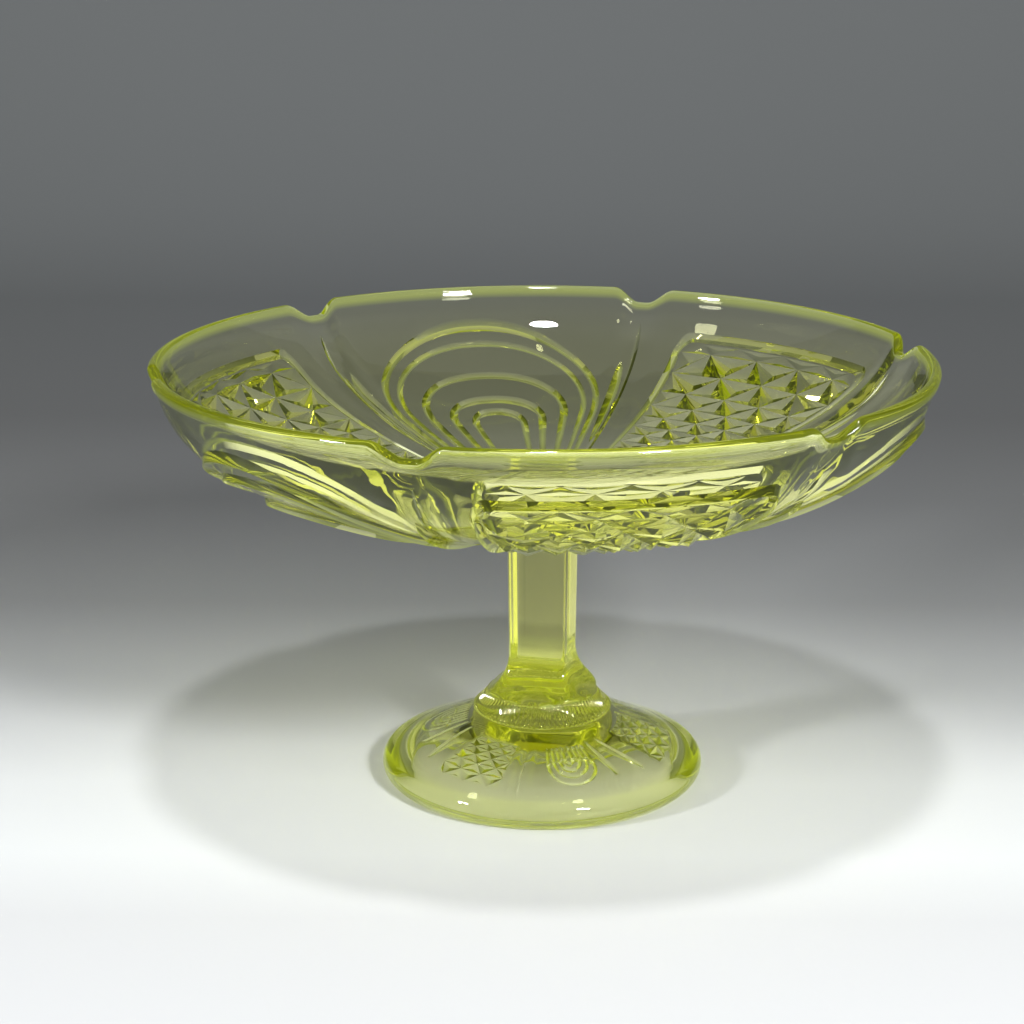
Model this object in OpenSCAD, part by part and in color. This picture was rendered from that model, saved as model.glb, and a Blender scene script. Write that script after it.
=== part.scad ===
// Pressed glass footed comport: a six-lobed shallow bowl on a square stem and a domed foot.
// Millimetres, +Z up, origin at the centre of the ring the foot stands on.

/* [Overall] */
// Diameter over the lobes of the rim
rim_d = 220; // [180:1:250]
// Height from the table to the top of the lobes
total_h = 125; // [115:1:150]
// Diameter of the foot
foot_d = 93.4; // [80:0.1:110]

/* [Bowl] */
// Height of the bowl, from its flat base to the top of the lobes
bowl_h = 47; // [40:0.5:54]
// Glass thickness at the middle of the bowl
base_wall = 5.5; // [4:0.1:8]
// Glass thickness at the rim
rim_wall = 3.2; // [2.5:0.1:4.5]
// Height of the plain band below the rim
band_h = 14; // [10:0.5:17]
// Outward lean of the band
band_lean = 5.2; // [3:0.1:6.5]
// Number of lobes, with panels of studs and arches by turns
lobes = 6; // [4:2:8]
// Depth of the notch between two lobes
notch_depth = 4.2; // [2:0.1:7]
// Width of the notch between two lobes
notch_w = 20; // [12:0.5:26]
// How far the wall is drawn in at a notch
notch_inset = 2.2; // [0.5:0.1:3]
// Radius of the flat pad under the bowl
pad_r = 13; // [12.5:0.5:16]
// Turn of the bowl about the upright
bowl_turn = 12.5; // [0:0.5:60]

/* [Star panels] */
// Half angle of a panel of studs
panel_half = 22.5; // [17.5:2.5:22.5]
// Angle between two columns of studs
column_step = 10; // [5:5:10]
// Radius of the outermost row of studs, measured in from the rim
first_row_in = 9.6; // [8.5:0.1:12]
// Each row's radius as a share of the row outside it
row_ratio = 0.915; // [0.89:0.001:0.93]
// Number of rows of studs
stud_rows = 5; // [3:1:5]
// Height of the outermost studs
stud_h = 2.1; // [1:0.1:3]
// Height of the border round a panel
border_h = 1.5; // [0.5:0.1:2]

/* [Arches] */
// Number of nested loops inside the border of an arch panel
loops = 4; // [2:1:4]
// Radius of the top of the border, measured in from the rim
arch_top_in = 7; // [6:0.1:10]
// Gap between the tops of the border and of the first loop
border_gap = 5.6; // [4:0.1:7]
// Distance between the tops of two loops
loop_pitch = 9.3; // [8:0.1:10]
// Half angle of the border's legs
arch_half = 25; // [22.5:2.5:27.5]
// Angle between the border's legs and the first loop's
border_step = 2.5; // [2.5:2.5:5]
// Angle between the legs of two loops
loop_step = 5; // [2.5:2.5:5]
// Radius where a loop's legs begin, measured in from the rim
shoulder_in = 40; // [34:0.5:44]
// Height of a loop's edge
step_h = 1.8; // [0.6:0.1:2.5]
// Width of the slope behind a loop's edge
slope_w = 7; // [4:0.1:9]

/* [Stem] */
// Width across the flats at the top of the stem
stem_w = 17.3; // [14:0.1:18]
// Width across the flats where the flare starts
stem_waist_w = 16.5; // [13:0.1:18]
// Squareness of the stem: 2 is round, and higher is squarer
stem_square = 14; // [6:1:20]
// Diameter of the flare where it meets the foot
flare_d = 32; // [26:0.5:34]
// Height of the flare
flare_h = 13; // [8:0.5:16]
// Turn of the stem about the upright
stem_turn = 76; // [0:0.5:90]

/* [Joining wafer] */
// Thickness of the pad of hot glass between bowl and stem
wafer_t = 1.6; // [1:0.1:3]
// Diameter of the pad
wafer_d = 25; // [24:0.5:26]

/* [Foot] */
// Height of the foot, to the top of its collar
foot_h = 26; // [25:0.5:30]
// Thickness of the rounded edge
edge_t = 9; // [7:0.1:11]
// Diameter of the collar
collar_d = 40; // [39:0.5:44]
// Thickness of the collar's edge
collar_t = 1.6; // [1.2:0.1:2.5]
// Number of ribs on the collar's edge
collar_ribs = 84; // [60:6:96]
// Radius where the dome starts under the collar
dome_r = 19; // [17:0.5:20]
// Height of the dome at the collar
dome_h = 18.6; // [17:0.1:20]
// Glass thickness of the dome
foot_wall = 4.6; // [3.5:0.1:5]
// Width of the flat ring the foot stands on
rest_w = 2.4; // [1.5:0.1:4]

/* [Hidden] */

rim_r = rim_d / 2;
bowl_z = total_h - bowl_h;
band_z = total_h - band_h;
ground_r = rim_r - band_lean;

// Exponents of the bowl's underside, a superellipse that is flat inside and steep at the band
under_in = 1.35;
under_out = 0.606;
band_curve = 0.84;

// Half angle of the flat floor of a notch
notch_flat = 0.8;

// Steps round the bowl, halved at the notches
turn_step = 2.5;
band_rings = 3;
crown_rings = 3;
inner_rings = 6;
centre_rings = 4;

// Radius where the relief fades out, and the width over which it does so
fade_r = 40;
fade_w = 12;
edge_w = 1.6;
border_in = 1.1;
border_w = 1;

glass = [0.80, 0.92, 0.25, 0.6];
deep_glass = [0.72, 0.86, 0.12, 0.7];

function lerp(a, b, t) = a + (b - a) * t;
function clamp01(t) = max(0, min(1, t));
function smooth(t) = let (u = clamp01(t)) u * u * (3 - 2 * u);

// Angle from the nearest notch, in degrees
function from_notch(a) =
    let (pitch = 360 / lobes, w = a - pitch * floor(a / pitch + 0.5)) abs(w);

// 1 in the middle of a notch, falling smoothly to 0 at its shoulders
function notch_shape(a) =
    let (half = notch_w / 2 / rim_r * 180 / PI)
        1 - smooth((from_notch(a) - notch_flat) / (half - notch_flat));

// Height of the patterned ground at a radius
function under_z(r) =
    let (t = clamp01((r - pad_r) / (ground_r - pad_r)))
        bowl_z + (band_z - bowl_z) * (1 - pow(1 - pow(t, under_in), under_out));

// The lobed form: pulls a plain point in and down near the notches
function lobed(r, z, a) =
    let (
        n = notch_shape(a),
        wall = smooth((z - bowl_z) / bowl_h),
        rise = clamp01((z - band_z) / band_h)
    )
    [r - notch_inset * n * wall, z - notch_depth * n * rise];

function placed(p, a) = [p[0] * cos(a), p[0] * sin(a), p[1]];

border_r = ground_r - border_in;
function row_r(k) = (rim_r - first_row_in) * pow(row_ratio, k);
function stagger(k) = k % 2 == 0 ? column_step / 2 : 0;

// Rows of three-sided studs: the least of a point's three shares in its triangle sets the height
function stud_relief(r, a) =
    let (
        k = floor(ln(r / row_r(0)) / ln(row_ratio) + 0.001),
        v = (row_r(k) - r) / (row_r(k) - row_r(k + 1)),
        u = (a - stagger(k)) / column_step,
        f = u - floor(u),
        g = f < 0.5 ? f : 1 - f,
        base_out = min(v, (1 - v) / 2 - 0.5 + g),
        base_in = min(1 - v, v / 2 - g)
    )
    k < 0 || k >= stud_rows ? 0 : 3 * stud_h * r / rim_r * max(0, base_out, base_in);

// A panel: its raised border at the sides and the top, and the studs inside
function star_relief(r, a) =
    let (past = clamp01((abs(a) - panel_half) / turn_step))
        abs(a) > panel_half - 0.01 ? border_h * (1 - past) * (r > border_r + 0.01 ? 0 : 1)
        : r > row_r(0) ? border_h * max(0, 1 - abs(r - border_r) / border_w)
        : stud_relief(r, a);

// How far a point lies inside a loop with the given top, half angle and shoulder radius
function depth(r, a, top, half, shoulder) =
    let (
        side = PI / 180 * r,
        out = max(r - shoulder, 0),
        f = norm([a / half, out / (top - shoulder)]),
        reach = norm([a * side, out])
    )
    r < shoulder ? (half - abs(a)) * side
    : f < 0.01 ? top - shoulder
    : reach * (1 - f) / f;

// A sharp edge with a slope behind it
function step_at(d) = step_h * (d < 0 ? max(0, 1 + d / edge_w) : max(0, 1 - d / slope_w));

shoulder_r = rim_r - shoulder_in;
border_top = rim_r - arch_top_in;
shoulder_gap = 5;

function loop_relief(r, a, top, half) =
    step_at(depth(r, a, top, half, min(shoulder_r, top - shoulder_gap)));

function arch_relief(r, a) =
    smooth((r - fade_r) / fade_w) * max(concat(
        [loop_relief(r, a, border_top, arch_half)],
        [for (k = [0 : loops - 1])
            loop_relief(r, a, border_top - border_gap - k * loop_pitch, arch_half - border_step - k * loop_step)]
    ));

// The pattern: panels of studs and of arches by turns
function relief(r, a) =
    let (
        pair = 720 / lobes,
        w = a - pair * floor(a / pair),
        mid = pair / 4
    )
    r >= ground_r - 0.01 || r < row_r(stud_rows) - slope_w && w < pair / 2 ? 0
    : w < pair / 2 ? star_relief(r, w - mid)
    : arch_relief(r, w - 3 * mid);

lobe_pitch = 360 / lobes;
fine_w = 2 * turn_step;
lobe_angles = [
    for (a = [0 : turn_step : lobe_pitch - turn_step])
        each (a < fine_w || a >= lobe_pitch - fine_w ? [a, a + turn_step / 2] : [a])
];

// A point of the underside, pushed out of it by the pattern, as [radius, height]
function on_under(r, a) =
    let (
        step = 0.5,
        slope = (under_z(r) - under_z(r - step)) / step,
        run = sqrt(1 + slope * slope),
        h = relief(r, a)
    )
    lobed(r, under_z(r), a) + [h * slope / run, -h / run];

// A cubic curve, for the smooth inside of the bowl
function cubic(a, b, c, d, t) =
    let (s = 1 - t) a * s * s * s + 3 * b * s * s * t + 3 * c * s * t * t + d * t * t * t;

inner_start = [0, bowl_z + base_wall];
inner_low = [0.5 * rim_r, bowl_z + base_wall + 3];
inner_high = [0.87 * rim_r, lerp(bowl_z, total_h, 0.45)];
inner_end = [rim_r - rim_wall, total_h - rim_wall / 2];

// Rings of the underside: plain ones near the centre, then three to a row of studs
under_radii = concat(
    [for (i = [0 : centre_rings]) lerp(pad_r, row_r(stud_rows), i / (centre_rings + 1))],
    [for (k = [stud_rows - 1 : -1 : 0], v = [1, 2 / 3, 1 / 3]) lerp(row_r(k), row_r(k + 1), v)],
    [row_r(0), border_r - border_w, border_r, ground_r]
);

upper_profile = concat(
    [for (i = [1 : band_rings])
        let (t = i / band_rings)
            [ground_r + band_lean * pow(t, band_curve), band_z + (band_h - rim_wall / 2) * t]],
    [for (i = [1 : crown_rings])
        let (t = 180 * i / (crown_rings + 1))
            [rim_r - rim_wall / 2 * (1 - cos(t)), total_h - rim_wall / 2 * (1 - sin(t))]],
    [for (i = [0 : inner_rings - 1])
        let (t = pow(1 - i / inner_rings, 1.3)) cubic(inner_start, inner_low, inner_high, inner_end, t)]
);

bowl_angles = [
    for (k = [0 : lobes - 1], a = lobe_angles) lobe_pitch * k + a
];

function mean(points) = [for (axis = [0 : 2]) sum([for (p = points) p[axis]]) / len(points)];
function sum(v, i = 0) = i < len(v) ? v[i] + sum(v, i + 1) : 0;

// A closed skin over rings of points, from the first ring to the last
module skin(rings) {
    n = len(rings[0]);
    m = len(rings);
    polyhedron(
        points = concat([for (ring = rings, p = ring) p], [mean(rings[0]), mean(rings[m - 1])]),
        faces = concat(
            [for (i = [0 : n - 1]) [m * n, i, (i + 1) % n]],
            [for (j = [0 : m - 2], i = [0 : n - 1], half = [0, 1])
                let (k = (i + 1) % n, low = j * n, high = low + n)
                    half == 0 ? [low + i, high + i, high + k] : [low + i, high + k, low + k]],
            [for (i = [0 : n - 1]) [m * n + 1, (m - 1) * n + (i + 1) % n, (m - 1) * n + i]]
        )
    );
}

module bowl() {
    color(glass)
        rotate(bowl_turn)
            skin(concat(
                [for (r = under_radii) [for (a = bowl_angles) placed(on_under(r, a), a)]],
                [for (p = upper_profile) [for (a = bowl_angles) placed(lobed(p[0], p[1], a), a)]]
            ));
}

module joining_wafer() {
    color(deep_glass)
        translate([0, 0, bowl_z - wafer_t])
            cylinder(d = wafer_d, h = wafer_t, $fn = 96);
}

// One level of the stem: a squared circle, with most of its points near the four edges
corner_steps = 4;
corner_crowd = 1.8;

function squared(w, p, z) = [
    for (q = [0 : 3], i = [-corner_steps : corner_steps - 1])
        let (
            u = i / corner_steps,
            a = 45 + 90 * q + 45 * sign(u) * pow(abs(u), corner_crowd),
            r = w / 2 / pow(pow(abs(cos(a)), p) + pow(abs(sin(a)), p), 1 / p)
        )
        [r * cos(a), r * sin(a), z]
];

flare_steps = 8;
flare_power = 2.25;
stem_top_z = bowl_z - wafer_t;

// Width and squareness of the flare, from round at its foot to square at its top
function flare_w(t) = lerp(stem_waist_w, flare_d, pow(1 - t, flare_power));
function flare_p(t) = lerp(2, stem_square, pow(t, flare_power));

module stem() {
    color(deep_glass)
        rotate(stem_turn)
            skin(concat(
                [for (i = [0 : flare_steps])
                    let (t = i / flare_steps) squared(flare_w(t), flare_p(t), foot_h + flare_h * t)],
                [squared(stem_w, stem_square, stem_top_z)]
            ));
}

foot_r = foot_d / 2;
edge_r = edge_t / 2;
collar_r = collar_d / 2;
collar_z = dome_h + 1;
rib_depth = 0.4;
hollow_r = foot_r - edge_r - rest_w / 2;
edge_steps = 12;
dome_steps = 8;
hollow_steps = 10;
collar_top_r = flare_d / 2 + 0.4;

foot_outline = concat(
    [[hollow_r, 0], [hollow_r + rest_w, 0]],
    [for (i = [1 : edge_steps])
        let (t = -90 + 130 * i / edge_steps)
            [foot_r - edge_r + edge_r * cos(t), edge_r + edge_r * sin(t)]],
    [for (i = [1 : dome_steps])
        let (
            t = i / dome_steps,
            start_r = foot_r - edge_r * (1 - cos(40)),
            start_z = edge_r * (1 + sin(40))
        )
        [lerp(start_r, dome_r, t), start_z + (dome_h - start_z) * sin(90 * t)]],
    [[dome_r, foot_h - 1], [0, foot_h - 1]],
    [for (i = [hollow_steps : -1 : 1])
        let (t = 90 * i / hollow_steps) [hollow_r * cos(t), (dome_h - foot_wall) * sin(t)]]
);

module foot_body() {
    rotate_extrude($fn = 96) polygon(foot_outline);
}

// The collar: a disc with a ribbed edge, and a low cone up to the stem
module collar() {
    translate([0, 0, collar_z])
        linear_extrude(collar_t)
            polygon([
                for (i = [0 : 2 * collar_ribs - 1])
                    let (a = 180 * i / collar_ribs, r = collar_r - (i % 2) * rib_depth)
                        [r * cos(a), r * sin(a)]
            ]);
    translate([0, 0, collar_z + collar_t])
        cylinder(
            r1 = collar_r - 1.5 * rib_depth,
            r2 = collar_top_r,
            h = foot_h - collar_z - collar_t,
            $fn = 96
        );
}

module foot() {
    color(glass) union() {
        foot_body();
        collar();
    }
}

bowl();
joining_wafer();
stem();
foot();
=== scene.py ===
import math

import bmesh
import bpy
import numpy as np
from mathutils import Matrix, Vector
from mathutils.geometry import delaunay_2d_cdt


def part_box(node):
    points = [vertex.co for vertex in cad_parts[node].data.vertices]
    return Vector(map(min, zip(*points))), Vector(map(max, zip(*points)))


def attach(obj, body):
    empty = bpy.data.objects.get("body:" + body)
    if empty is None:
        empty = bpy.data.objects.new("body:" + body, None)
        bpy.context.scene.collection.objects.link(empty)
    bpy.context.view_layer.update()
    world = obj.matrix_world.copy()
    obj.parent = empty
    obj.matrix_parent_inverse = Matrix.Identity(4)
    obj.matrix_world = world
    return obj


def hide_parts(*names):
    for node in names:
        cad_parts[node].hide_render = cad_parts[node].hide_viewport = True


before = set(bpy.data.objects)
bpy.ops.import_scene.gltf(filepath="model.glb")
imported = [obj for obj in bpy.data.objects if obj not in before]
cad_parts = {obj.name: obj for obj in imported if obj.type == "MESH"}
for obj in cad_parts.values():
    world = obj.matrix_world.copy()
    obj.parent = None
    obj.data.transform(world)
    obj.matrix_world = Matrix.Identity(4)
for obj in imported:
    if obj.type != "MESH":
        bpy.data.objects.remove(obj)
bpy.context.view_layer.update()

# All lengths below are millimetres of the CAD part. MM turns them into metres.
BOWL_LO, BOWL_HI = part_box("bowl")
FOOT_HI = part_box("foot")[1]
WAFER_LO, WAFER_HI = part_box("joining_wafer")
MM = BOWL_HI.z / 125.0

TOP = 125.0
BASE = BOWL_LO.z / MM
RIM_R = 110.0
PAD_R = 13.0
BAND_Z = 111.0
GROUND_R = 106.6
RIM_WALL = 3.2
SECTOR = 120.0
BOWL_TURN = 12.5
STEM_TURN = 76.0
JOIN = 0.12


def smooth(t):
    t = np.clip(t, 0.0, 1.0)
    return t * t * (3 - 2 * t)


def lerp(a, b, t):
    return a + (b - a) * t


# ---------------------------------------------------------------- mesh helpers

MERGE = 0.002
SLIVER = 1e-4


def make_object(name, verts, glow, faces, sharp_deg):
    """One mesh in metres. The per-point glow value is painted light: how brightly the glass glows there,
    standing in for the light its edges and ridges gather, though no lamp is in it.
    """
    mesh = bpy.data.meshes.new(name)
    mesh.from_pydata([tuple(v) for v in np.asarray(verts) * MM], [], faces)
    painted_light = mesh.attributes.new("glow", "FLOAT", "POINT")
    painted_light.data.foreach_set("value", np.asarray(glow, np.float32))
    bm = bmesh.new()
    bm.from_mesh(mesh)
    bmesh.ops.remove_doubles(bm, verts=bm.verts, dist=MERGE * MM)
    bmesh.ops.dissolve_degenerate(bm, edges=bm.edges, dist=SLIVER * MM)
    bmesh.ops.recalc_face_normals(bm, faces=bm.faces)
    bm.to_mesh(mesh)
    bm.free()
    mesh.shade_smooth()
    mesh.set_sharp_from_angle(angle=math.radians(sharp_deg))
    ob = bpy.data.objects.new(name, mesh)
    bpy.context.scene.collection.objects.link(ob)
    return ob


class Shell:
    """Collects points and faces of one closed skin."""

    def __init__(self):
        self.points, self.glow, self.faces = [], [], []

    def add(self, points, faces, glow=0.0):
        at = sum(len(p) for p in self.points)
        self.points.append(np.asarray(points, float).reshape(-1, 3))
        self.glow.append(np.zeros(len(self.points[-1])) + glow)
        self.faces += [tuple(int(i) + at for i in f) for f in faces]

    def rings(self, rings, cap_start=False, cap_end=False, glow=None):
        n, m = len(rings[0]), len(rings)
        painted_light = np.repeat(np.zeros(m) if glow is None else np.asarray(glow, float), n)
        pts = np.concatenate([np.asarray(r, float) for r in rings])
        faces = [(j * n + i, j * n + (i + 1) % n, (j + 1) * n + (i + 1) % n, (j + 1) * n + i)
                 for j in range(m - 1) for i in range(n)]
        extra = []
        for wanted, ring, at in ((cap_start, rings[0], 0), (cap_end, rings[-1], (m - 1) * n)):
            if wanted:
                centre = len(pts) + len(extra)
                extra.append(np.mean(ring, axis=0))
                faces += [(centre, at + i, at + (i + 1) % n) for i in range(n)]
        if extra:
            pts = np.concatenate([pts, np.array(extra)])
            painted_light = np.concatenate([painted_light, np.zeros(len(extra))])
        self.add(pts, faces, painted_light)

    def build(self, name, sharp_deg):
        points, glow = np.concatenate(self.points), np.concatenate(self.glow)
        return make_object(name, points, glow, self.faces, sharp_deg)


class Plan:
    """A flat plan of one sector: points with a relief height, and the lines that must stay edges."""

    start, span = 0.0, SECTOR

    def __init__(self):
        self.xy, self.h, self.edges = [], [], []
        self.seen = {}

    def point(self, r, a, h=0.0):
        x, y = r * math.cos(math.radians(a)), r * math.sin(math.radians(a))
        key = (round(x, 3), round(y, 3))
        if key not in self.seen:
            self.seen[key] = len(self.xy)
            self.xy.append((x, y))
            self.h.append(h)
        return self.seen[key]

    def line(self, polar, heights, closed=False):
        ids = [self.point(r, a, h) for (r, a), h in zip(polar, heights)]
        pairs = list(zip(ids, ids[1:])) + ([(ids[-1], ids[0])] if closed else [])
        self.edges += [p for p in pairs if p[0] != p[1]]
        return ids

    def fill(self, rings, gap, spacing, allowed):
        """Loose points on rings wherever allowed, clear of the lines by gap."""
        taken = [np.array(self.xy)]
        for a, b in self.edges:
            p, q = np.array(self.xy[a]), np.array(self.xy[b])
            n = int(np.linalg.norm(q - p) / (gap * 0.7))
            if n > 1:
                taken.append(p + (q - p) * np.linspace(0, 1, n + 1)[1:-1, None])
        taken = np.concatenate(taken)
        for k, r in enumerate(rings):
            n = max(3, int(math.radians(self.span) * r / spacing))
            angles = self.start + self.span * (np.arange(n) + 0.5 * (k % 2) + 0.25) / n
            for a in angles:
                if not allowed(r, a):
                    continue
                x, y = r * math.cos(math.radians(a)), r * math.sin(math.radians(a))
                near = np.abs(taken - (x, y)).max(axis=1) < gap
                if near.any() and (np.hypot(*(taken[near] - (x, y)).T) < gap).any():
                    continue
                self.point(r, a)

    def triangles(self, inner_r):
        out = delaunay_2d_cdt([Vector(p) for p in self.xy], self.edges, [], 0, 1e-5, True)
        verts, faces, origin = out[0], out[2], out[3]
        xy = np.array([(v.x, v.y) for v in verts])
        h = np.array([self.h[o[0]] if o else np.nan for o in origin])
        for i in np.where(np.isnan(h))[0]:
            d = np.hypot(*(np.array(self.xy) - xy[i]).T)
            h[i] = self.h[int(d.argmin())]
        radius = np.hypot(xy[:, 0], xy[:, 1])
        faces = [f for f in faces if not all(radius[i] < inner_r + 0.01 for i in f)]
        return xy, h, faces


def star_lattice(plan, mid, half, step, rows, steep, top_half=None, top_steep=None):
    """Rows of three-sided studs between mid - half and mid + half."""
    levels = []
    for k, r in enumerate(rows):
        first = step / 2 if k % 2 else 0.0
        wide = top_half if top_half and k == 0 else half
        inside = [first + step * i for i in range(-6, 7) if abs(first + step * i) < wide - step * 0.2]
        levels.append([(r, mid + a, 0.0) for a in [-wide] + sorted(inside) + [wide]])
    for k, (outer, inner) in enumerate(zip(levels, levels[1:])):
        plan.line([p[:2] for p in outer], [p[2] for p in outer])
        i = j = 0
        while i < len(outer) - 1 or j < len(inner) - 1:
            step_outer = j == len(inner) - 1 or (
                i < len(outer) - 1 and outer[i + 1][1] + outer[i][1] <= inner[j + 1][1] + inner[j][1])
            if step_outer:
                tri = [outer[i], outer[i + 1], inner[j]]
                i += 1
            else:
                tri = [inner[j], inner[j + 1], outer[i]]
                j += 1
            plan.line([p[:2] for p in tri], [p[2] for p in tri], closed=True)
            c = [np.array([r * math.cos(math.radians(a)), r * math.sin(math.radians(a))]) for r, a, h in tri]
            sides = [np.linalg.norm(c[n] - c[n - 1]) for n in range(3)]
            area = abs(np.cross(c[1] - c[0], c[2] - c[0])) / 2
            mid_xy = sum(c) / 3
            mid_r, mid_a = np.hypot(*mid_xy), math.degrees(math.atan2(mid_xy[1], mid_xy[0]))
            lift = top_steep if top_steep and k == 0 else steep
            apex = plan.point(mid_r, mid_a, lift * 2 * area / sum(sides))
            plan.edges += [(apex, plan.point(r, a, h)) for r, a, h in tri]
    plan.line([p[:2] for p in levels[-1]], [p[2] for p in levels[-1]])


# ---------------------------------------------------------------- bowl

def spline(xs, ys):
    """A natural cubic curve through the points, as a function."""
    xs, ys = np.array(xs, float), np.array(ys, float)
    n, d = len(xs), np.diff(xs)
    m, v = np.eye(n), np.zeros(n)
    for i in range(1, n - 1):
        m[i, i - 1:i + 2] = d[i - 1], 2 * (d[i - 1] + d[i]), d[i]
        v[i] = 6 * ((ys[i + 1] - ys[i]) / d[i] - (ys[i] - ys[i - 1]) / d[i - 1])
    k = np.linalg.solve(m, v)

    def at(x):
        x = np.asarray(x, float)
        i = np.clip(np.searchsorted(xs, x) - 1, 0, n - 2)
        u, w = x - xs[i], xs[i + 1] - x
        return ((k[i] * w ** 3 + k[i + 1] * u ** 3) / (6 * d[i]) + (ys[i] / d[i] - k[i] * d[i] / 6) * w
                + (ys[i + 1] / d[i] - k[i + 1] * d[i] / 6) * u)
    return at


# The underside, from the flat pad to the rim
ground_z = spline((8, PAD_R, 20, 30, 40, 51, 67, 82, 93, 101, 104.8, 106.8, 108.6, RIM_R),
                  (BASE, BASE, BASE + 0.6, 80, 82.2, 84.8, 88.8, 93.8, 99.5, 106, 111, 115, 120, 123.4))


def lobed(r, z, a):
    """Pulls a point in and down near the six notches of the rim. a is in degrees from a notch."""
    away = np.abs((a + 30.0) % 60.0 - 30.0)
    n = 1 - smooth((away - 0.8) / 4.4)
    wall = smooth((z - BASE) / (TOP - BASE))
    rise = np.clip((z - BAND_Z) / (TOP - BAND_Z), 0.0, 1.0)
    return r - 2.2 * n * wall, z - 4.2 * n * rise


def turned(r, z, a, turn):
    a = np.radians(a + turn)
    return np.stack([r * np.cos(a), r * np.sin(a), z + 0 * a], axis=-1)


# Each arch from the outermost in: top radius, half angle, shoulder radius, then its line's width and height
LOOPS = ((105.3, 25.6, 70.0, 2.4, 1.7), (100.9, 22.7, 69.0, 1.9, 1.5), (89.3, 18.0, 67.0, 2.6, 1.8),
         (77.6, 12.3, 64.0, 2.6, 1.8), (70.6, 7.0, 61.0, 2.3, 1.7))
LEG_END = 33.0


def loop_path(loop, grow, count):
    """One arch, grown outwards by so many millimetres, which is less down its legs."""
    top, half, shoulder = loop[:3]

    def grown(r):
        return half + math.degrees(grow * (0.6 + 0.4 * min(1.0, (r - LEG_END) / (shoulder - LEG_END))) / r)

    leg = [(float(r), grown(r)) for r in np.linspace(LEG_END, shoulder, 14)[:-1]]
    arc = []
    for q in np.linspace(math.pi, 0, count):
        r = shoulder + (top + grow - shoulder) * math.sin(q)
        arc.append((r, -math.copysign(abs(math.cos(q)) ** (2 / 2.3), math.cos(q)) * grown(r)))
    return leg + arc + [(r, -a) for r, a in leg[::-1]]


def bowl_plan():
    plan = Plan()
    ring_n = 240
    outer = [(GROUND_R, SECTOR * i / ring_n) for i in range(ring_n + 1)]
    plan.line(outer, [0.0] * len(outer))
    inner = [(PAD_R, SECTOR * i / 24) for i in range(25)]
    plan.line(inner, [0.0] * len(inner))

    # The crease that runs down the wall from each notch: a low ridge with a foot on each side
    down = list(np.linspace(GROUND_R, 24.0, 46)[1:])
    for a in (0.0, 60.0, 120.0):
        for side in (-1, 0, 1):
            if not 0 <= a + side <= SECTOR:
                continue
            off = [side * math.degrees(0.8 / r) for r in down]
            heights = [0.4 * float(smooth((r - 24) / 14)) if side == 0 else 0.0 for r in down]
            plan.line([(r, a + o) for r, o in zip(down, off)], heights)
        if a != 60.0:
            plan.line([(GROUND_R, a), (down[0], a)], [0.0, heights[0]])
            plan.line([(24.0, a), (21.0, a), (17.5, a), (PAD_R, a)], [0.0] * 4)

    # Star panel about 30 degrees, inside a raised border with rounded upper corners
    rows = [102.7, 100.2, 92.7, 84.0, 76.5, 69.8, 63.7, 58.1, 53.0, 48.4, 44.2, 40.3, 36.8, 33.6]
    star_lattice(plan, 30.0, 21.0, 10.0, rows, 0.85, 17.5, 0.5)
    for half, top, lift in ((21.4, 103.0, 0.0), (22.1, 104.0, 1.9), (22.8, 105.0, 0.0)):
        corner = [(99 + (top - 99) * math.sin(q), half - 2.4 + 2.4 * math.cos(q))
                  for q in np.radians(np.linspace(0, 90, 10))]
        side = [(float(r), half) for r in np.linspace(33.0, 99.0, 34)[:-1]] + corner
        across = [(top, float(a)) for a in np.linspace(half - 2.4, 2.4 - half, 40)[1:-1]]
        path = side + across + [(r, -a) for r, a in side[::-1]]
        heights = [lift * float(smooth((r - 33) / 10)) for r, a in path]
        plan.line([(r, 30 + a) for r, a in path], heights)

    # Arch panel about 90 degrees: five nested raised lines
    for k, loop in enumerate(LOOPS):
        wide, high = loop[3:]
        for grow, lift in ((wide / 2, 0.0), (0.0, high), (-wide / 2, 0.0)):
            path = loop_path(loop, grow, 60 if k < 3 else 40)
            heights = [lift * float(smooth((r - LEG_END) / 10)) for r, a in path]
            plan.line([(r, 90 + a) for r, a in path], heights)

    # Leaf ribs on both sides of each arch, pointed at their top
    for side in (-1, 1):
        t = np.linspace(0, 1, 20)
        r = lerp(96.0, 50.0, t)
        a = lerp(28.1, 28.9, t)
        wide = np.degrees(1.6 * np.sin(math.pi * np.clip(t, 0.0, 1.0) ** 0.7) ** 0.6 / r)
        mid_line = [(float(x), 90 + side * float(y)) for x, y in zip(r, a)]
        plan.line(mid_line, [2.1 * math.sin(math.pi * q ** 0.7) ** 0.5 for q in t])
        for edge in (-1, 1):
            line = [(x, y + edge * float(w)) for (x, y), w in zip(mid_line, wide)]
            plan.line(line, [0.0] * len(line))

    def allowed(r, a):
        if abs(a - 30) < 22.8 + math.degrees(0.8 / r) and 32 < r < 105.5:
            return False
        return 0.9 < a < 119.1

    rings = [15.5, 18.5, 21.5] + list(np.arange(24.5, 97.0, 2.9)) + [98.3, 100.2, 101.8, 103.2, 104.4, 105.5]
    plan.fill(rings, 1.15, 2.9, allowed)
    return plan.triangles(PAD_R)


def bowl_inner():
    p = [np.array(q) for q in ((0.0, BASE + 5.5), (55.0, BASE + 8.5), (95.7, 99.2),
                               (RIM_R - RIM_WALL, TOP - RIM_WALL / 2))]
    t = np.linspace(1, 0, 46)[:, None] ** 1.15
    s = 1 - t
    return (p[0] * s ** 3 + 3 * p[1] * s * s * t + 3 * p[2] * s * t * t + p[3] * t ** 3)[:-1]


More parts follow.
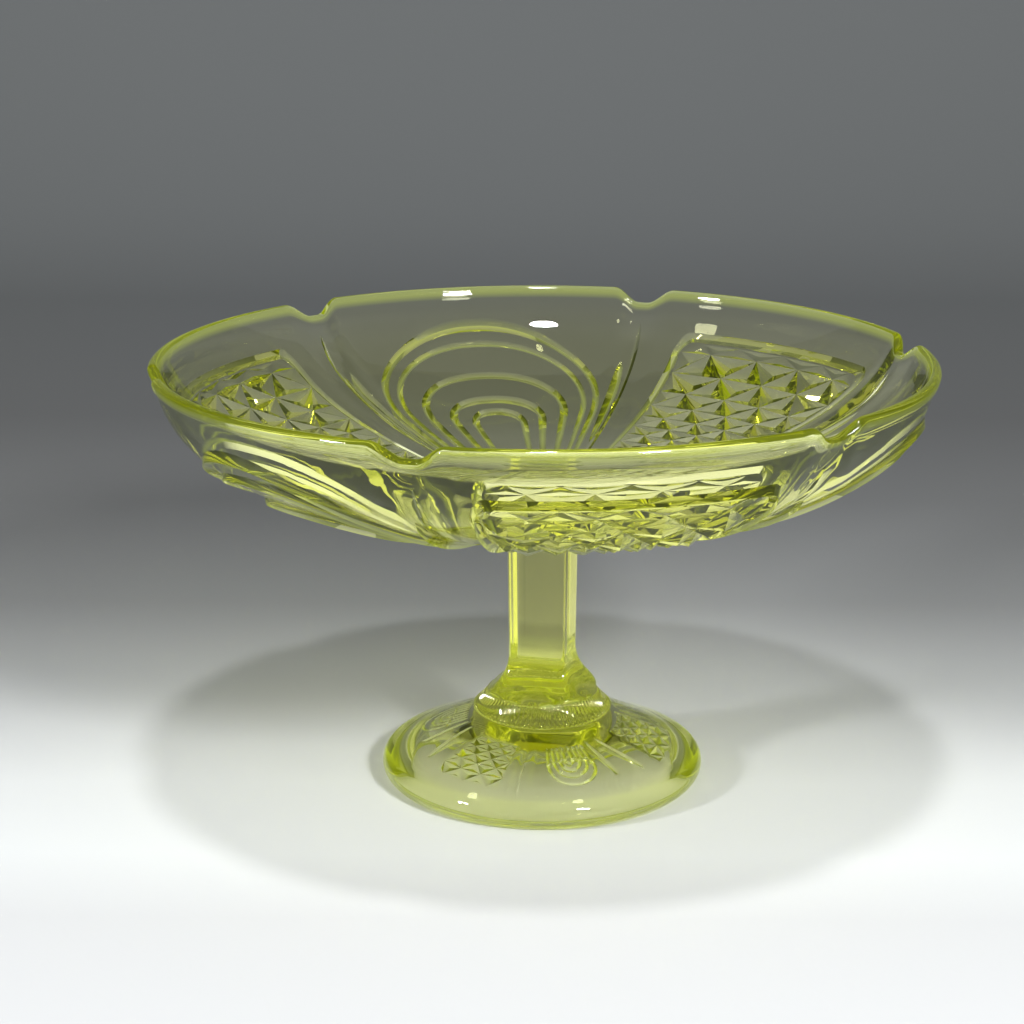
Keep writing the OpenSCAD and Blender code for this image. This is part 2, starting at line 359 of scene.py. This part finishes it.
def bowl_band():
    """Plain band, lip and rolled rim, from the patterned ground outwards."""
    lip_z = TOP - RIM_WALL / 2
    out = [(r, float(ground_z(r))) for r in np.linspace(GROUND_R, 109.2, 9)]
    out += [(109.45, 121.45), (109.75, 122.3)]
    turn = np.radians(np.linspace(0, 180, 13))
    out += [(RIM_R - RIM_WALL / 2 * (1 - math.cos(q)), lip_z + RIM_WALL / 2 * math.sin(q)) for q in turn]
    return out


def make_bowl():
    shell = Shell()
    xy, h, faces = bowl_plan()
    r = np.hypot(xy[:, 0], xy[:, 1])
    a = np.degrees(np.arctan2(xy[:, 1], xy[:, 0]))
    a = np.where(a < -1, a + 360, a)
    z = ground_z(r)
    slope = (ground_z(r) - ground_z(r - 0.2)) / 0.2
    run = np.sqrt(1 + slope * slope)
    h = np.where(r > GROUND_R - 0.01, 0.0, h)
    rr, zz = lobed(r, z, a)
    rr, zz = rr + h * slope / run, zz - h / run
    # Painted light: the raised lines glow, faintly in the star panel and more on the arches, standing in for
    # the bright edges of the ridges.
    painted_line_glow = np.where(np.abs(a - 30) < 21.2, 0.08, 0.3) * np.clip(h / 1.5, 0, 1)
    for k in range(3):
        shell.add(turned(rr, zz, a, BOWL_TURN + SECTOR * k), faces, painted_line_glow)

    angles = np.arange(720) * 0.5
    rings = []
    band = bowl_band()
    inner = [tuple(q) for q in bowl_inner()[1:]]
    for pr, pz in band + inner:
        rr, zz = lobed(pr, pz, angles)
        rings.append(turned(rr, zz, angles, BOWL_TURN))
    # Painted light: the rolled rim glows, standing in for the light gathered in its edge.
    rim = [0.35 * float(smooth((z - 120.5) / 2.0)) for r, z in band] + [0.0] * len(inner)
    shell.rings(rings, cap_end=True, glow=rim)
    pad = np.arange(72) * 5.0
    shell.rings([turned(x, BASE, pad, BOWL_TURN) for x in (PAD_R, PAD_R * 0.5)], cap_end=True)
    return shell.build("bowl_glass", 24)


# ---------------------------------------------------------------- wafer and stem

def make_wafer():
    lo, hi = WAFER_LO.z / MM, WAFER_HI.z / MM
    radius = (WAFER_HI.x - WAFER_LO.x) / 2 / MM
    mid, half = (lo + hi) / 2, (hi - lo) / 2
    angles = np.arange(192) * 360 / 192
    bulge = np.radians(np.linspace(-90, 90, 9))
    profile = [(radius - half * (1 - math.cos(q)), mid + half * math.sin(q)) for q in bulge]
    profile = [(profile[0][0], lo - 0.0)] + profile[1:-1] + [(profile[-1][0], hi + JOIN)]
    shell = Shell()
    shell.rings([turned(r, z, angles, 0) for r, z in profile], True, True)
    return shell.build("joining_wafer_glass", 40)


def squared(width, power, z):
    u = np.concatenate([np.linspace(-1, 1, 33)[:-1]] * 4)
    q = np.repeat(np.arange(4), 32)
    a = 45 + 90 * q + 45 * np.sign(u) * np.abs(u) ** 1.7
    c, s = np.abs(np.cos(np.radians(a))), np.abs(np.sin(np.radians(a)))
    r = width / 2 / (c ** power + s ** power) ** (1 / power)
    return turned(r, z, a, STEM_TURN)


def make_stem():
    foot_z, flare, top_z = FOOT_HI.z / MM, 13.0, WAFER_LO.z / MM
    rings = [squared(31.6, 2.0, foot_z - JOIN)]
    for t in np.linspace(0, 1, 25):
        rings.append(squared(lerp(16.5, 31.6, (1 - t) ** 2.4), lerp(2.0, 14.0, t ** 0.8), foot_z + flare * t))
    for t in np.linspace(0, 1, 16)[1:]:
        rings.append(squared(lerp(16.5, 17.3, t), 14.0, lerp(foot_z + flare, top_z, t)))
    rings.append(squared(17.3, 14.0, top_z + JOIN))
    # Painted light: the whole stem glows a little, and more up the flare.
    flared = np.linspace(0, 1, 25)
    painted_light = [0.1] + [0.1 + 0.15 * float(smooth(t / 0.6) - smooth((t - 0.8) / 0.5)) for t in flared]
    shell = Shell()
    shell.rings(rings, True, True, glow=painted_light + [0.0] * (len(rings) - len(painted_light)))
    return shell.build("stem_glass", 40)


# ---------------------------------------------------------------- foot

FOOT_N = 672
HOLLOW_R = 40.98
U_MID = -73.0
PLAN_START = -28.0
COLLAR_RIBS = 84


def hollow_z(r):
    return 14.0 * np.sqrt(np.clip(1 - (r / HOLLOW_R) ** 2, 0, 1))


def foot_plan():
    """The underside's pattern: nested loops, two ribs, a star panel and flutes, three times round."""
    plan = Plan()
    plan.start = PLAN_START
    n = FOOT_N // 3
    rim = [(39.4, plan.start + SECTOR * i / n) for i in range(n + 1)]
    plan.line(rim, [0.0] * len(rim))
    eye = [(8.0, plan.start + SECTOR * i / 16) for i in range(17)]
    plan.line(eye, [0.0] * len(eye))
    for a in (plan.start, plan.start + SECTOR):
        plan.line([(r, a) for r in np.linspace(39.4, 8.0, 14)], [0.0] * 14)

    for tip, half, bottom, h in ((34.3, 13.4, 19.5, 0.9), (31.4, 9.8, 19.5, 0.9), (29.0, 6.2, 19.5, 0.9),
                                 (26.6, 2.4, 19.5, 0.8)):
        shoulder = tip - 6.5 * half / 12.5 - 0.6
        for grow, lift in ((0.55, 0.0), (0.0, h), (-0.55, 0.0)):
            arc = []
            for q in np.radians(np.linspace(180, 0, 25)):
                r = shoulder + (tip - shoulder + grow) * math.sin(q)
                arc.append((r, -math.cos(q) * (half + math.degrees(grow / r))))
            legs = np.linspace(bottom, shoulder, 9)[:-1]
            left = [(r, -(-half - math.degrees(grow / r))) for r in legs]
            right = [(r, -half - math.degrees(grow / r)) for r in legs[::-1]]
            path = left + [(r, -a) for r, a in arc] + right
            plan.line(path, [lift * float(smooth((r - bottom) / 2)) for r, a in path])

    for a0, a1, r0, r1 in ((19.5, 21.5, 19.5, 34.0), (29.5, 37.5, 19.5, 35.2)):
        for side, lift in ((-1, 0.0), (0, 1.0), (1, 0.0)):
            t = np.linspace(0, 1, 14)
            path = []
            for q in t:
                r = lerp(r0, r1, q)
                path.append((r, lerp(a0, a1, q) + math.degrees(side * (0.45 + 0.45 * q) / r)))
            plan.line(path, [lift * math.sin(math.pi * q) ** 0.4 for q in t])

    star_lattice(plan, 66.0, 18.0, 12.0, [36.2, 32.8, 29.6, 26.7, 24.0, 21.6, 19.5], 0.5)

    for a in (88.5, -22.5):
        for side, lift in ((-1, 0.0), (0, 0.25), (1, 0.0)):
            along = zip(np.linspace(21, 35.5, 9), np.linspace(0, 1, 9))
            path, heights = [], []
            for r, q in along:
                path.append((r, a + math.degrees(side * 1.1 / r)))
                heights.append(lift * math.sin(math.pi * q) ** 0.4)
            plan.line(path, heights)

    def allowed(r, a):
        return not (abs(a - 66) < 18.6 and 19 < r < 36.7) and plan.start + 1.5 < a < plan.start + 118.5

    plan.fill(list(np.arange(10, 38.9, 1.6)), 0.7, 1.7, allowed)
    return plan.triangles(8.0)


def make_foot():
    shell = Shell()
    xy, h, faces = foot_plan()
    r = np.hypot(xy[:, 0], xy[:, 1])
    a = np.degrees(np.arctan2(xy[:, 1], xy[:, 0]))
    z = hollow_z(r)
    slope = (hollow_z(r) - hollow_z(r - 0.1)) / 0.1
    run = np.sqrt(1 + slope * slope)
    h = np.where((r > 39.3) | (r < 8.1), 0.0, h)
    rr, zz = r + h * slope / run, z - h / run
    # Painted light: the raised pattern under the foot glows with its height.
    for k in range(3):
        shell.add(turned(rr, zz, a, U_MID + SECTOR * k), faces, 0.5 * np.clip(h / 0.8, 0, 1))
    eye = np.arange(48) * 7.5 + PLAN_START
    shell.rings([turned(x, hollow_z(x), eye, U_MID) for x in (8.0, 4.0)], cap_end=True)

    edge = [(39.4, float(hollow_z(39.4))), (40.3, float(hollow_z(40.3))), (40.8, 1.0), (40.98, 0.25),
            (41.2, 0.0), (43.1, 0.02), (44.2, 0.35)]
    roll = np.radians(np.linspace(-55, 55, 16))
    edge += [(42.2 + 4.5 * math.cos(q), 4.6 + 4.5 * math.sin(q)) for q in roll]
    edge += [(43.2, 8.95), (41.0, 9.85)]
    dome = [(x, 10.93 + (38.5 - x) * 0.49) for x in np.linspace(38.5, 19.7, 14)]
    collar = [(19.5, 20.35), (19.6, 20.45), (19.85, 20.55), (20.05, 20.8), (20.1, 21.1), (20.0, 21.45),
              (19.7, 21.8), (19.1, 22.3), (18.3, 23.1), (17.5, 23.95), (16.7, 24.85), (16.1, 25.6),
              (15.9, 26.0)]
    ribs = [0.0, 0.0, 0.2, 0.5, 0.7, 0.8, 0.85, 0.9, 0.9, 0.85, 0.7, 0.4, 0.0]
    angles = np.arange(FOOT_N) * 360.0 / FOOT_N + PLAN_START
    rings = [turned(x, y, angles, U_MID) for x, y in edge + dome]
    for (x, y), depth in zip(collar, ribs):
        wave = depth * (0.5 - 0.5 * np.cos(np.radians(angles * COLLAR_RIBS)))
        outward = 0.9 if y < 21.5 else 0.6
        sink = 1 - outward if y > 22 else 0
        rings.append(turned(x - wave * outward, y - wave * sink, angles, U_MID))
    rings.append(turned(8.0, 26.0, angles, U_MID))
    # Painted light: the rounded outer edge of the foot glows.
    painted_light = [0.0] * 4 + [0.2, 0.35] + [0.35] * (len(edge) - 8) + [0.1, 0.0] + [0.0] * len(dome)
    painted_light += [0.0] * (len(ribs) + 1)
    shell.rings(rings, cap_end=True, glow=painted_light)
    return shell.build("foot_glass", 30)


# ---------------------------------------------------------------- glass

def glass(name, colour, density, waviness, glow):
    mat = bpy.data.materials.new(name)
    mat.use_nodes = True
    nt = mat.node_tree
    nt.nodes.clear()
    out = nt.nodes.new("ShaderNodeOutputMaterial")
    bsdf = nt.nodes.new("ShaderNodeBsdfPrincipled")
    bsdf.inputs["Base Color"].default_value = (1, 1, 1, 1)
    bsdf.inputs["Roughness"].default_value = 0.015
    bsdf.inputs["IOR"].default_value = 1.52
    bsdf.inputs["Transmission Weight"].default_value = 1.0
    # Painted light: a yellow-green emission, strong where the per-point glow value is high and faint
    # everywhere else, makes the glass glow though no lamp is in it.
    bsdf.inputs["Emission Color"].default_value = (0.76, 0.92, 0.0, 1)
    painted_light = nt.nodes.new("ShaderNodeAttribute")
    painted_light.attribute_name = "glow"
    strength = nt.nodes.new("ShaderNodeMapRange")
    strength.inputs["To Min"].default_value = 0.006
    strength.inputs["To Max"].default_value = glow
    nt.links.new(painted_light.outputs["Fac"], strength.inputs["Value"])
    nt.links.new(strength.outputs["Result"], bsdf.inputs["Emission Strength"])
    vol = nt.nodes.new("ShaderNodeVolumeAbsorption")
    vol.inputs["Color"].default_value = (*colour, 1)
    vol.inputs["Density"].default_value = density
    coord = nt.nodes.new("ShaderNodeTexCoord")
    noise = nt.nodes.new("ShaderNodeTexNoise")
    noise.inputs["Scale"].default_value = 55.0
    noise.inputs["Detail"].default_value = 1.5
    bump = nt.nodes.new("ShaderNodeBump")
    bump.inputs["Strength"].default_value = waviness
    bump.inputs["Distance"].default_value = 0.0006
    link = nt.links.new
    link(coord.outputs["Object"], noise.inputs["Vector"])
    link(noise.outputs["Fac"], bump.inputs["Height"])
    link(bump.outputs["Normal"], bsdf.inputs["Normal"])
    link(bsdf.outputs["BSDF"], out.inputs["Surface"])
    link(vol.outputs["Volume"], out.inputs["Volume"])
    return mat


URANIUM = (0.962, 0.965, 0.03)
bowl_mat = glass("uranium_glass_bowl", URANIUM, 62.0, 0.15, 0.30)
stem_mat = glass("uranium_glass_stem", URANIUM, 62.0, 0.1, 0.30)
foot_mat = glass("uranium_glass_foot", URANIUM, 36.0, 0.1, 0.30)

for ob, node, mat, slot in (
        (make_bowl(), "bowl", bowl_mat, "bowl_glass"),
        (make_wafer(), "joining_wafer", stem_mat, "stem_glass"),
        (make_stem(), "stem", stem_mat, "stem_glass"),
        (make_foot(), "foot", foot_mat, "foot_glass")):
    ob.data.materials.append(mat)
    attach(ob, "root")
    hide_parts(node)


# ---------------------------------------------------------------- studio

def plain(name, colour, rough):
    mat = bpy.data.materials.new(name)
    mat.use_nodes = True
    bsdf = mat.node_tree.nodes["Principled BSDF"]
    bsdf.inputs["Base Color"].default_value = (*colour, 1)
    bsdf.inputs["Roughness"].default_value = rough
    return mat


def sweep():
    """Floor that curves up into a backdrop, its paint carrying painted light: bright at the front, falling
    off to grey towards the back.
    """
    line = [(-1.6, 0.0), (0.75, 0.0)]
    bend = np.radians(np.linspace(10, 90, 9))
    line += [(0.75 + 0.35 * math.sin(q), 0.35 - 0.35 * math.cos(q)) for q in bend]
    line += [(1.1, 2.4)]
    verts = [(x, y, z) for y, z in line for x in (-2.2, 2.2)]
    faces = [(2 * i, 2 * i + 1, 2 * i + 3, 2 * i + 2) for i in range(len(line) - 1)]
    mesh = bpy.data.meshes.new("sweep")
    mesh.from_pydata(verts, [], faces)
    mesh.shade_smooth()
    ob = bpy.data.objects.new("sweep", mesh)
    bpy.context.scene.collection.objects.link(ob)
    mat = plain("sweep_painted_falloff", (0.8, 0.8, 0.8), 0.85)
    nt = mat.node_tree
    coord = nt.nodes.new("ShaderNodeTexCoord")
    split = nt.nodes.new("ShaderNodeSeparateXYZ")
    back = nt.nodes.new("ShaderNodeMapRange")
    back.inputs["From Min"].default_value = -0.1
    back.inputs["From Max"].default_value = 0.9
    # Painted light: this ramp darkens the floor's paint with distance back, standing in for lamp light
    # falling off away from the front.
    painted_falloff_ramp = nt.nodes.new("ShaderNodeValToRGB")
    stops = painted_falloff_ramp.color_ramp.elements
    stops[0].position, stops[0].color = 0.0, (0.58, 0.59, 0.6, 1)
    stops[1].position, stops[1].color = 1.0, (0.17, 0.18, 0.182, 1)
    painted_falloff_greys = ((0.04, 0.66), (0.09, 0.62), (0.16, 0.42), (0.26, 0.23), (0.40, 0.15), (0.55, 0.125))
    for place, grey in painted_falloff_greys:
        stop = stops.new(place)
        stop.color = (grey, grey * 1.03, grey * 1.04, 1)
    nt.links.new(coord.outputs["Object"], split.inputs["Vector"])
    nt.links.new(split.outputs["Y"], back.inputs["Value"])
    nt.links.new(back.outputs["Result"], painted_falloff_ramp.inputs["Fac"])
    nt.links.new(painted_falloff_ramp.outputs["Color"], nt.nodes["Principled BSDF"].inputs["Base Color"])
    mesh.materials.append(mat)
    return ob


def softbox(name, location, target, size, power):
    data = bpy.data.lights.new(name, "AREA")
    data.shape = "DISK"
    data.size = size
    data.energy = power
    ob = bpy.data.objects.new(name, data)
    ob.location = location
    ob.rotation_euler = (Vector(target) - Vector(location)).to_track_quat("-Z", "Y").to_euler()
    bpy.context.scene.collection.objects.link(ob)
    return ob


sweep()
softbox("right", (0.50, -0.83, 0.63), (0, 0, 0.06), 0.17, 12.0)
softbox("left", (-0.90, -0.55, 0.50), (0, 0, 0.06), 0.15, 8.0)
softbox("pool", (0.0, -0.25, 1.30), (0.02, -0.08, 0.0), 0.12, 6.0)

world = bpy.data.worlds.new("studio")
bpy.context.scene.world = world
world.use_nodes = True
world.node_tree.nodes["Background"].inputs["Color"].default_value = (0.8, 0.82, 0.84, 1)
world.node_tree.nodes["Background"].inputs["Strength"].default_value = 0.36

cam_data = bpy.data.cameras.new("camera")
cam_data.lens = 82.48
cam_data.sensor_width = 36.0
camera = bpy.data.objects.new("camera", cam_data)
camera.location = (0.0, -644.8 * MM, 260.85 * MM)
camera.rotation_euler = (math.radians(74.26), 0.0, math.radians(0.785))
bpy.context.scene.collection.objects.link(camera)
bpy.context.scene.camera = camera

bpy.context.scene.view_settings.view_transform = "Standard"
cycles = bpy.context.scene.cycles
cycles.max_bounces = 24
cycles.transmission_bounces = 24
cycles.transparent_max_bounces = 16
